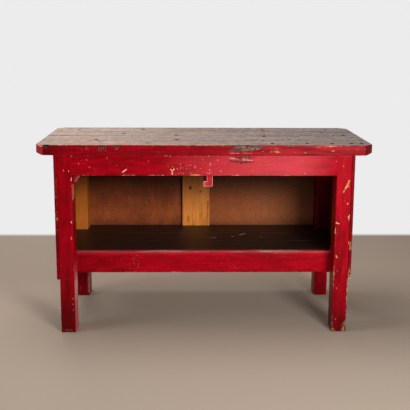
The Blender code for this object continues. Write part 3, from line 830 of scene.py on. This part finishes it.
def hinge_gain(board):
    """The seat of an old hinge leaf, cut square into the leg: the rings and columns on either side of its
    border close up to it, and the points inside go in by its depth."""
    inner = board.facing(X, 1)
    for place, at in ((board.z, GAIN_LOW), (board.z, GAIN_HIGH), (board.y, GAIN_BACK)):
        close = (np.abs(place - at) < GAIN_SNAP) & (inner > 0.5)
        place[close] = at + np.sign(place[close] - at) * GAIN_EDGE
    seat = (inner > 0.2) & (board.z > GAIN_LOW) & (board.z < GAIN_HIGH) & (board.y < GAIN_BACK)
    board.sink(GAIN_DEPTH * seat)
    board.faded += seat
    board.wear += 0.40 * seat
    for y, z in GAIN_HOLES:
        away = np.hypot(board.y - y, board.z - z) / HOLE_RADIUS
        board.sink(HOLE_DEPTH * inner * unit(1.0 - away))
        board.grime += 0.9 * inner * unit(1.4 - away)


# %% Legs
LEG_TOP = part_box("leg_front_left")[HIGH][Z]
SHELF_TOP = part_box("shelf_board_1")[HIGH][Z]
PANEL_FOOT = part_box("end_panel_left")[LOW][Z]
(_, APRON_FRONT, APRON_LOW), (_, _, APRON_TOP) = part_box("apron_front")
LEG_ROUND, ARRIS_REACH = 0.0025, 0.006
FINE_STEP = 0.0022           # step between points on the boards that are seen from nearest


def shade_under_top(z):
    """Painted shade under the worktop: 0 a little above the shelf, growing to 1 behind the apron."""
    return unit((z - 0.415) / 0.18) ** 0.85


def leg(name, seed, step, rubbed, darkening, rows=()):
    """A leg with rubbed arrises, less where a panel covers them and not where the apron joins. The paint is
    chipped near the floor, as exp(-z / 0.03), and darker a longer way up, as exp(-z / 0.19)."""
    board = Board(name, Z, LEG_ROUND, (0.004, 0.001), step, seed=seed)
    out, z = np.abs(board.x), board.z
    covered = (out > out.max() - ARRIS_REACH) & (z > PANEL_FOOT)
    joined = (out < out.min() + ARRIS_REACH) & (z > APRON_LOW)
    rubbed = np.where(joined, 0.0, np.where(covered, 0.3 * rubbed, rubbed))
    board.rub(rubbed, 0.0035, np.where(joined, 0.0003, 0.0012))
    board.strokes(rows)
    board.wear += 0.4 * fall(z, 0.03) * board.noise(30.0, 45.0, 9)
    board.grime += np.clip(darkening * fall(z, 0.19) + 0.10 * board.noise(3.0, 12.0, 10), 0.0, 0.7)
    board.specks(25)
    return board


left_leg = leg("leg_front_left", 11, FINE_STEP, 0.35, 1.1, LEFT_MARKS)
hinge_gain(left_leg)
# Painted reflection: below the shelf the left leg's inner face is paled to pink and chalk, and its darkening
# cut back.
pale = unit((SHELF_TOP - left_leg.z) / 0.12) * left_leg.facing(X, 1)
left_leg.faded += pale * (1.0 + 0.22 * np.exp(-((left_leg.z - 0.20) / 0.06) ** 2))
left_leg.grime -= 0.65 * pale * left_leg.grime
left_leg.strokes(LEFT_GLINT, "faded")
left_leg.make(red_paint, "red_paint")
leg("leg_front_right", 12, FINE_STEP, 0.5, 0.85, RIGHT_MARKS).make(red_paint, "red_paint")
for side, seed in (("left", 13), ("right", 14)):
    board = leg(f"leg_rear_{side}", seed, 0.006, 0.3, 0.55)
    inside = unit((board.z - SHELF_TOP + 0.02) / 0.006)
    if side == "left":
        board.bare += BARE * inside
        board.strokes(REAR_LEFT_EDGE, "faded")
    # Above the shelf: on the left leg a slight even darkening and painted shade under the worktop, on the
    # right leg painted shade all over.
    board.grime += inside * (0.12 + 0.42 * shade_under_top(board.z) if side == "left" else 0.45)
    board.make(red_paint, "red_paint")

# %% [markdown]
# ## Rails and aprons
#
# The rails are tenoned into the legs. The tenons could be dressed too, but they lie hidden in the packed
# model, and what shows is the length between the shoulders, so each board here runs from leg face to leg
# face. The front apron is the most knocked about: a gouge under the broken slab edge, chips along its lower
# arris and a spatter of pale specks.

# %% Marks on the front apron
APRON_GOUGE = (0.165, APRON_FRONT, APRON_TOP - 0.004), (0.064, 0.003, 0.030), 0.43, 0.30
APRON_MARKS = marks((-361, 740, -343, 753, 4, 0.9), (-143, 745, -150, 754, 3, 0.9),
                    (-143, 745, -134, 754, 3, 0.9), (-143, 745, -143, 731, 3, 0.9),
                    (-60, 725.5, -38, 726.5, 4.5, 0.95))
APRON_PALE = marks((112, 802, 148, 799, 6, 0.9), (168, 796, 208, 792, 6, 0.9), (150, 804, 190, 803, 4, 0.6))
# Darker strokes under the gouge.
APRON_DARK_STROKES = marks((110, 790, 160, 782, 6, 0.6), (160, 782, 214, 787, 6, 0.6))
APRON_CHIPS = metres((-370, -299), (-251, -172), (-66, -9), (115, 159), (349, 380))
APRON_SPECKS = metres((-106, 776), (-40, 767), (-42, 760), (-9, 796), (57, 794), (24, 780), (24, 772),
                      (22, 745), (70, 745), (-582, 810), (-517, 795), (-427, 802), (-552, 778), (-505, 762),
                      (-247, 789), (-152, 811), (580, 790), (441, 736))
CROWD_LOW, CROWD_HIGH, CROWD_COUNT = (-0.17, 0.727), (0.03, 0.775), 36
crowd = np.random.default_rng(71).uniform(CROWD_LOW, CROWD_HIGH, (CROWD_COUNT, 2))
spatter = [(x, z, x, z - 0.001, 0.0024, 1.8) for x, z in APRON_SPECKS]
spatter += [(x, z, x + 0.001, z - 0.001, 0.0018, 1.5) for x, z in crowd]
print("pale specks on the apron:", len(spatter))

# %% Front apron
SHOULDER = 0.0002
JOINT_REACH = 0.02           # beside a leg the wear fades out over this way
LEG_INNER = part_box("leg_front_right")[LOW][X] - SHOULDER


def rail(name, axis, span, seed, step=0.006):
    """A rail between its shoulders, with arrises that are rubbed except close to the legs."""
    board = Board(name, axis, 0.002, (0.0004, 0.0004), step, span, seed=seed)
    along = board.points[..., axis]
    to_end = np.minimum(along - span[0], span[1] - along)
    board.rub(0.35 * unit(to_end / JOINT_REACH), 0.0035, 0.0008)
    return board


apron = rail("apron_front", X, (-LEG_INNER - LEG_ROUND, LEG_INNER + LEG_ROUND), 21, FINE_STEP)
apron.bite(*APRON_GOUGE)
apron.strokes(APRON_MARKS)
apron.strokes(spatter, "faded")
apron.bare += BARE * apron.facing(Y, 1)
arris = fall(apron.z - APRON_LOW, 0.0025) * apron.noise(260.0, 160.0, 16)
arris = arris * fall(apron.y - APRON_FRONT, 0.007)
for begin, end in APRON_CHIPS:
    inside = unit((apron.x - begin) / 0.01) * unit((end - apron.x) / 0.01)
    apron.faded += 2.6 * inside * arris
    apron.wear += 0.9 * inside * arris
sheen = unit((apron.x + 0.20) / 0.42) * unit((0.57 - apron.x) / 0.14)
apron.faded += 0.50 * sheen * apron.facing(Y, -1)
apron.strokes(APRON_PALE, "faded")
apron.strokes(APRON_DARK_STROKES, "grime")
apron.specks(40)
apron.make(red_paint, "red_paint")

# %% Lower front rail
END_RAIL_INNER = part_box("end_rail_lower_right")[LOW][X] - SHOULDER
lower = rail("rail_lower_front", X, (-END_RAIL_INNER, END_RAIL_INNER), 22, 0.004)
# The pale top arris is worn paint with a painted highlight along it.
rim = fall(SHELF_TOP - lower.z, 0.0045)
worn = np.exp(-((lower.x + 0.18) / 0.07) ** 2) + np.exp(-((lower.x - 0.35) / 0.09) ** 2)
lower.faded += rim * (1.0 + 0.8 * worn) * (0.45 + 0.9 * lower.noise(18.0, 260.0, 11))
# Painted shade: darker towards the left end.
lower.grime += 0.14 - 0.16 * np.clip(lower.x + 0.2, 0.0, 0.8)
lower.specks(15)
lower.make(red_paint, "red_paint")

# %% Hidden rails
FRONT_LEG_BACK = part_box("leg_front_left")[HIGH][Y] + SHOULDER
REAR_LEG_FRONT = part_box("leg_rear_left")[LOW][Y] - SHOULDER
for name, seed in (("apron_rear", 23), ("rail_lower_rear", 24)):
    board = rail(name, X, (-LEG_INNER, LEG_INNER), seed)
    board.bare += BARE
    board.make(red_paint, "red_paint")
for seed, place in enumerate(("upper_left", "lower_left", "upper_right", "lower_right"), 25):
    board = rail(f"end_rail_{place}", Y, (FRONT_LEG_BACK, REAR_LEG_FRONT), seed)
    board.bare += BARE
    board.grime += 0.45
    board.make(red_paint, "red_paint")

# %% [markdown]
# ## End panels
#
# A painted panel covers the outer faces of the legs at each end. From the front only its edge shows, which is
# darker than the legs. The panels lean in a little towards the floor. Tilting the boards would take them off
# the legs, so only the outer face is drawn in.

# %% End panels
PANEL_DRAWN = 0.0022         # how far the lower edge of a panel lies in from its upper edge


def drawn_in(z):
    """How far the outer face of a panel lies in: nothing at its top, growing evenly to the foot."""
    return PANEL_DRAWN * (LEG_TOP - z) / (LEG_TOP - PANEL_FOOT)


for side, sign, seed, rubbed, inner_dark in (("left", -1, 31, 0.3, 0.45), ("right", 1, 32, 0.55, 0.80)):
    board = Board(f"end_panel_{side}", Z, 0.0015, (0.0015, 0.0015), 0.006, seed=seed)
    board.rub(rubbed, 0.003, 0.0010)
    board.sink(board.facing(X, sign) * drawn_in(board.z))
    inside = board.facing(X, -sign) * (board.edge > 0.004)
    board.bare += BARE * inside
    # The inner faces are darker, the right one more.
    board.grime += inner_dark * inside
    board.grime += 0.5 * board.facing(Y, -1)
    board.specks(40)
    board.make(red_paint, "red_paint")

# %% [markdown]
# ## Inside: shelf, back and post
#
# The shelf is stained nearly black, the back is brown hardboard in two sheets, and a wide pine post covers
# their joint. Hardboard is pressed fibre and has no grain, so its noise follows the place in the room and not
# the log.

# %% Inner finishes
SHELF_STAIN, SHELF_STAIN_DARK, SHELF_SCUFF = tint(40, 25, 19), tint(26, 14, 10), tint(196, 178, 164)
BOARD_BROWN, BOARD_DARK = tint(184, 94, 47), tint(116, 50, 21)
# The rubbed colour also brightens the right back sheet as painted light.
BOARD_FLECK, BOARD_RUBBED_AND_LIT = tint(52, 22, 10), tint(200, 124, 76)
PINE_STAIN, PINE_GRIME_AND_SHADE = tint(124, 66, 24), tint(66, 26, 7)


def stained_shelf():
    """Dark wood, with pale scuffs where drawn noise plus half of the wear passes about 0.9."""
    f = WoodFinish("shelf_stain")
    wood, fibres = softwood(f, SHELF_STAIN, SHELF_STAIN_DARK)
    scuffs = f.drawn(5.0, 40.0, 6.0, 0.7)
    wood = f.lay(wood, SHELF_SCUFF, f.plus(f.field("wear"), 0.5, scuffs), 0.76, 1.00)
    return f.surface(Base_Color=f.blend(f.field("grime"), wood, GRIME_AND_SHADE), Roughness=f.plus(scuffs, 0.3, 0.34),
                     Specular_IOR_Level=0.35, Normal=f.bump(fibres, 0.0006, 0.4))


def brown_hardboard():
    """Dark to brown by felt, streak and cloud noise together; then rubbed and, on the right sheet, brightened
    as painted light, flecked, scratched, and darkened, mostly as painted shade.
    """
    f = Finish("hardboard")
    place = f.place()
    cloud = f.noise(place, 9.0, 5.0, 0.6)
    felt = f.noise(place, 420.0, 3.0, 0.7)
    streak = f.noise(f.stretch(place, (22.0, 22.0, 9.0)), 1.0, 5.0, 0.7)
    share = f.plus(felt, 0.5, f.plus(streak, 0.25, f.times(cloud, 0.25)))
    colour = f.lay(BOARD_DARK, BOARD_BROWN, share, 0.36, 0.64)
    colour = f.blend(f.field("faded"), colour, BOARD_RUBBED_AND_LIT)
    flecks = f.noise(f.stretch(place, (150.0, 150.0, 110.0)), 1.0, 3.0, 0.6)
    colour = f.lay(colour, BOARD_FLECK, flecks, 0.52, 0.70, 0.45)
    scratches = f.noise(f.stretch(place, (60.0, 60.0, 190.0), (3.0, 0.0, 5.0)), 1.0, 3.0, 0.6)
    colour = f.lay(colour, BOARD_RUBBED_AND_LIT, scratches, 0.57, 0.72, 0.5)
    colour = f.blend(f.field("grime"), colour, GRIME_AND_SHADE)
    return f.surface(Base_Color=colour, Roughness=f.plus(cloud, 0.3, 0.40), Specular_IOR_Level=0.1,
                     Normal=f.bump(felt, 0.0004, 0.35))


def bare_pine():
    """Pine with weak rings, stained by drawn noise, and darkened where the grime and shade field is high: by
    knots, and by painted shade under the worktop.
    """
    f = WoodFinish("bare_pine")
    wood, fibres = softwood(f, PINE_PALE, PINE_DARK, 24.0, 0.15)
    wood = f.lay(wood, PINE_STAIN, f.drawn(5.0, 30.0, 4.0, 0.65), 0.47, 0.70, 0.55)
    colour = f.blend(f.field("grime"), wood, PINE_GRIME_AND_SHADE)
    return f.surface(Base_Color=colour, Roughness=f.plus(fibres, 0.2, 0.5), Specular_IOR_Level=0.2,
                     Normal=f.bump(fibres, 0.0005, 0.4))


shelf_stain = stained_shelf()
hardboard = brown_hardboard()
pine = bare_pine()
print("finishes:", [material.name for material in bpy.data.materials])

# %% Shelf, bearer and battens
SHELF_BOARDS = 3
SHELF_SCUFFS = marks((41, 32, 60, 36, 10, 1.2), (180, 92, 212, 117, 10, 1.2), (142, 60, 154, 68, 8, 1.0),
                     (280, 40, 292, 46, 8, 1.0), (316, -40, 326, -36, 8, 0.9), (-350, 20, -320, 30, 8, 0.7))
NOTCH_STEP = 0.0002


def notch(board, at, limit):
    """Cuts the rear corners out of a shelf board: past x = at, the rings are squeezed in Y to end at the
    limit, and the two rings beside that place move up to it, so that the step is square."""
    x, y = board.x, board.y
    for sign in (-1, 1):
        inner = np.flatnonzero(sign * x[:, 0] < at)[-1 if sign > 0 else 0]
        x[inner], x[inner + sign] = sign * (at - NOTCH_STEP), sign * (at + NOTCH_STEP)
    front, back = y.min(), y.max()
    outer = np.abs(x) > at
    y[outer] = front + (y[outer] - front) * (limit - front) / (back - front)


for number in range(1, SHELF_BOARDS + 1):
    board = Board(f"shelf_board_{number}", X, 0.0015, (0.001, 0.001), 0.006, seed=40 + number)
    board.rub(0.1)
    board.strokes(SHELF_SCUFFS, "wear", (X, Y), (Z, 1))
    board.grime += 0.7 * fall(board.edge, 0.004)
    if number == SHELF_BOARDS:
        notch(board, LEG_INNER, REAR_LEG_FRONT)
    board.make(shelf_stain, "shelf_stain")
for name, seed in (("shelf_bearer", 45), ("top_batten_left", 46), ("top_batten_right", 47)):
    board = Board(name, Y, 0.002, (0.001, 0.001), 0.008, seed=seed)
    board.rub(0.3)
    board.make(pine, "bare_pine")

# %% Back panels
POST_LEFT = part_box("centre_post")[LOW][X]
for side, seed in (("left", 51), ("right", 52)):
    board = Board(f"back_panel_{side}", Z, 0.0008, (0.0008, 0.0008), 0.008, seed=seed)
    board.rub(0.2, 0.004, 0.0003)
    inside = board.facing(Y, -1)
    foot = fall(board.z - SHELF_TOP, 0.03)
    # Painted shade under the worktop on the inner face, and darker towards the shelf.
    board.grime += inside * (0.80 * shade_under_top(board.z) + 0.4 * foot)
    if side == "right":
        # Painted light: the right sheet is brightened towards its right.
        board.faded += inside * np.clip(0.15 + 0.8 * board.x, 0.0, 0.6)
    else:
        # Painted shadow of the post along the left sheet's edge beside it.
        to_post = np.maximum(POST_LEFT - board.x, 0.0)
        board.grime += 0.6 * inside * np.exp(-(to_post / 0.010) ** 2)
    board.make(hardboard, "hardboard")

# %% Post
POST_KNOTS = marks((-62.5, 557, -60, 550, 8, 0.65), (-9, 535, -8, 533, 6.5, 0.65),
                   (-73, 404, -73, 375, 4, 0.9), (30, 480, 26.5, 360, 6, 0.5),
                   (-12, 415, -12, 405, 3.5, 0.4), (-45, 480, -44, 470, 3.5, 0.4))
post_span = (SHELF_TOP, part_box("apron_rear")[LOW][Z])
post = Board("centre_post", Z, 0.0015, (0.0004, 0.0004), 0.004, post_span, seed=53)
post.rub(0.3)
post.strokes(POST_KNOTS, "grime")
# Painted shade under the worktop.
post.grime += 0.68 * shade_under_top(post.z)
post.make(pine, "bare_pine")

# %% [markdown]
# ## Stop block and turn catch
#
# A three-cornered block sits in the corner of the left leg, and the catch, a hooked bar, turns on a screw
# behind the apron. They could be cut from boxes, but an outline carried along the depth of the bench gives
# them the same worn arrises as the boards. Above the hook's toe a thin web is left beside the bar, set back
# from its face and painted nearly black as shade. The screw and its washer stay as packed and only get a
# rusty steel.

# %% Stop block
STOP_BLUNT = 0.004
(left, _, bottom), (right, _, top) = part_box("stop_block")
blunt_low, blunt_side = top - STOP_BLUNT, left + STOP_BLUNT
stop_outline = [(bottom, left), (top, left), (top, right), (blunt_low, right), (bottom, blunt_side)]
block = Board("stop_block", Y, 0.0015, (0.0012, 0.0012), 0.003, corners=stop_outline, seed=61)
block.rub(0.10, 0.003, 0.0006)
block.strokes([(left + 0.014, bottom + 0.013, right, blunt_low, 0.0036, 1.9)], "faded")
# Slightly darker all over, and painted shade at its top, under the apron.
block.grime += 0.10 + 0.65 * fall(top - block.z, 0.007)
block.make(red_paint, "red_paint")

# %% Turn catch
CATCH_BAR, CATCH_TOE, CATCH_SHOULDER, CATCH_WEB, WEB_LAP = 0.0262, 0.0235, 0.050, 0.004, 0.002
HEAD_POINTS = 9
(left, _, bottom), (right, back, top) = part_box("catch")
toe_top, inner, shoulder = bottom + CATCH_TOE, right - CATCH_BAR, top - CATCH_SHOULDER


def catch_outline():
    """Seen along the depth, as (Z, X) pairs: the bar with a half-round head, and a toe at its lower end."""
    turn = np.linspace(np.pi / 2, -np.pi / 2, HEAD_POINTS)
    half = CATCH_BAR / 2
    head = np.stack((top - half * (1.0 - np.cos(turn)), inner + half * (1.0 + np.sin(turn))), 1)
    return np.vstack((head, [(toe_top, inner), (toe_top, left), (bottom, left), (bottom, right)]))[::-1]


hook = Board("catch", Y, 0.0012, (0.0010, 0.0010), 0.002, corners=catch_outline(), seed=62,
             cover=(0.0020, 0.0042))
hook.rub(0.10, 0.0020, 0.0004)
rim = unit(1.25 - hook.edge / 0.0038) * (0.65 + 0.6 * hook.noise(200.0, 190.0, 17))
hook.faded += 1.55 * rim + 0.35 * unit((inner - hook.x) / 0.003)
hook.make(red_paint, "red_paint", "catch")

lap_low, lap_right = toe_top - WEB_LAP, inner + WEB_LAP
web_outline = [(lap_low, left), (shoulder, left), (shoulder, lap_right), (lap_low, lap_right)]
web = Board("catch", Y, 0.0008, (0.0006, 0.0006), 0.003, (back - CATCH_WEB, back), web_outline, 63)
# Painted shade: the web is darkened nearly black.
web.grime += 0.9
web.make(red_paint, "red_paint", "catch", "web")

# %% Old steel
STEEL, RUST = tint(112, 108, 104), tint(92, 52, 30)


def old_steel():
    """Dull metal, rusty and rougher where a fine noise is high."""
    f = Finish("steel")
    rust = f.noise(f.place(), 900.0, 5.0, 0.65)
    colour = f.lay(STEEL, RUST, rust, 0.42, 0.66)
    return f.surface(Base_Color=colour, Metallic=0.8, Roughness=f.plus(rust, 0.5, 0.2))


steel = old_steel()
for name in ("catch_screw", "catch_washer"):
    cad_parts[name].data.materials.clear()
    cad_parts[name].data.materials.append(steel)
    print(f"{name}: {steel.name}")

# %% [markdown]
# ## Nails
#
# Nails hold the planks, the shelf and the panels. Only their heads show: sunk in the worktop, level with the
# shelf and a little proud on the panels. One head is a short profile turned about the nail. An object for
# each would be slow, so a whole row of heads is that shape set down at many places in one mesh.

# %% Nail heads
HEAD_PROFILE = np.array(((0.9, -0.8), (1.0, -0.2), (0.95, 0.3), (0.6, 0.8)))    # shares of radius and rise
HEAD_SIDES = 12


def nail_heads(name, places, axis, sign, radius, rise):
    """Domed heads: each profile point (r, h) is turned about the axis, to place + radius r (cos t, sin t)
    across it and rise h along it. Quads join the rings, and fans of triangles close the dome and the
    underside."""
    turn = np.arange(HEAD_SIDES) * 2.0 * np.pi / HEAD_SIDES
    share, height = HEAD_PROFILE.T
    rings = np.zeros((len(share), HEAD_SIDES, 3))
    rings[..., (axis + 1) % 3] = radius * np.outer(share, np.cos(turn))
    rings[..., (axis + 2) % 3] = sign * radius * np.outer(share, np.sin(turn))
    rings[..., axis] = sign * rise * height[:, None]
    poles = np.zeros((2, 3))
    poles[:, axis] = sign * rise * np.array((height[0], 1.0))
    head = np.vstack((rings.reshape(-1, 3), poles))
    index, beside, quads = ring_quads(len(share), HEAD_SIDES)
    under = np.stack((beside[0], index[0], np.full(HEAD_SIDES, index.size)), axis=1)
    dome = np.stack((index[-1], beside[-1], np.full(HEAD_SIDES, index.size + 1)), axis=1)
    starts = (np.arange(len(places)) * len(head))[:, None, None]
    faces = [(part + starts).reshape(-1, part.shape[1]).tolist() for part in (quads, under, dome)]
    mesh = bpy.data.meshes.new(name)
    mesh.from_pydata((np.array(places)[:, None] + head).reshape(-1, 3), [], sum(faces, []))
    mesh.shade_smooth()
    mesh.materials.append(steel)
    piece = put(name, mesh)
    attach(piece, "bench")
    print(f"{name}: {len(places)} heads")


# %% Nails in the worktop and the shelf
NAIL_RADIUS, NAIL_RISE, NAIL_SUNK = 0.0034, 0.0008, 0.0016
SHELF_NAIL_RADIUS, SHELF_NAIL_RISE, SHELF_NAIL_SUNK = 0.0028, 0.0006, 0.0004
SHELF_NAIL_OFFSETS = (0.030, 0.120)


def pairs(first, second):
    """Every value of the first list beside every value of the second, as rows."""
    return np.stack(np.meshgrid(first, second), axis=-1).reshape(-1, 2)


def middle(node, axis):
    return (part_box(node)[LOW][axis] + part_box(node)[HIGH][axis]) / 2


places = [(x, y, SLAB_TOP - PIT - NAIL_SUNK) for x, y in SLAB_NAILS]
nail_heads("worktop_nails", places, Z, 1, NAIL_RADIUS, NAIL_RISE)
shelf_x = [middle("end_rail_lower_left", X), 0.0, middle("end_rail_lower_right", X)]
board_fronts = [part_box(f"shelf_board_{number}")[LOW][Y] for number in range(1, SHELF_BOARDS + 1)]
shelf_y = [front + offset for front in board_fronts for offset in SHELF_NAIL_OFFSETS]
places = [(x, y, SHELF_TOP - SHELF_NAIL_SUNK) for x, y in pairs(shelf_x, shelf_y)]
nail_heads("shelf_nails", places, Z, 1, SHELF_NAIL_RADIUS, SHELF_NAIL_RISE)

# %% Nails in the panels
NAIL_SPACE, CORNER_SPACE, PANEL_NAIL_RADIUS = 0.13, 0.08, 0.8 * NAIL_RADIUS
EDGE_SPACE, FOOT_SPACE, JOINT_SPACE = 0.02, 0.03, 0.012


def row(low, high):
    """Evenly spaced places between two ends, about one nail space apart."""
    return np.linspace(low, high, max(2, round((high - low) / NAIL_SPACE) + 1))


for side, sign in (("left", -1), ("right", 1)):
    panel_low, panel_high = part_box(f"end_panel_{side}")
    face = panel_high[X] if sign > 0 else panel_low[X]
    upright = pairs((middle(f"leg_front_{side}", Y), middle(f"leg_rear_{side}", Y)),
                    row(panel_low[Z] + FOOT_SPACE, panel_high[Z] - EDGE_SPACE))
    level = pairs(row(FRONT_LEG_BACK + CORNER_SPACE, REAR_LEG_FRONT - CORNER_SPACE),
                  (middle(f"end_rail_lower_{side}", Z), middle(f"end_rail_upper_{side}", Z)))
    places = [(face - sign * drawn_in(z), y, z) for y, z in np.vstack((upright, level))]
    nail_heads(f"end_panel_nails_{side}", places, X, sign, PANEL_NAIL_RADIUS, NAIL_RISE)

    back_low, back_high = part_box(f"back_panel_{side}")
    joint = (back_high if sign < 0 else back_low)[X] + sign * JOINT_SPACE
    upright = pairs((middle(f"leg_rear_{side}", X), joint),
                    row(back_low[Z] + EDGE_SPACE, back_high[Z] - EDGE_SPACE))
    ends = sorted((joint + sign * CORNER_SPACE, sign * (LEG_INNER - CORNER_SPACE)))
    level = pairs(row(*ends), (middle("rail_lower_rear", Z), middle("apron_rear", Z)))
    places = [(x, back_high[Y], z) for x, z in np.vstack((upright, level))]
    nail_heads(f"back_panel_nails_{side}", places, Y, 1, PANEL_NAIL_RADIUS, NAIL_RISE)
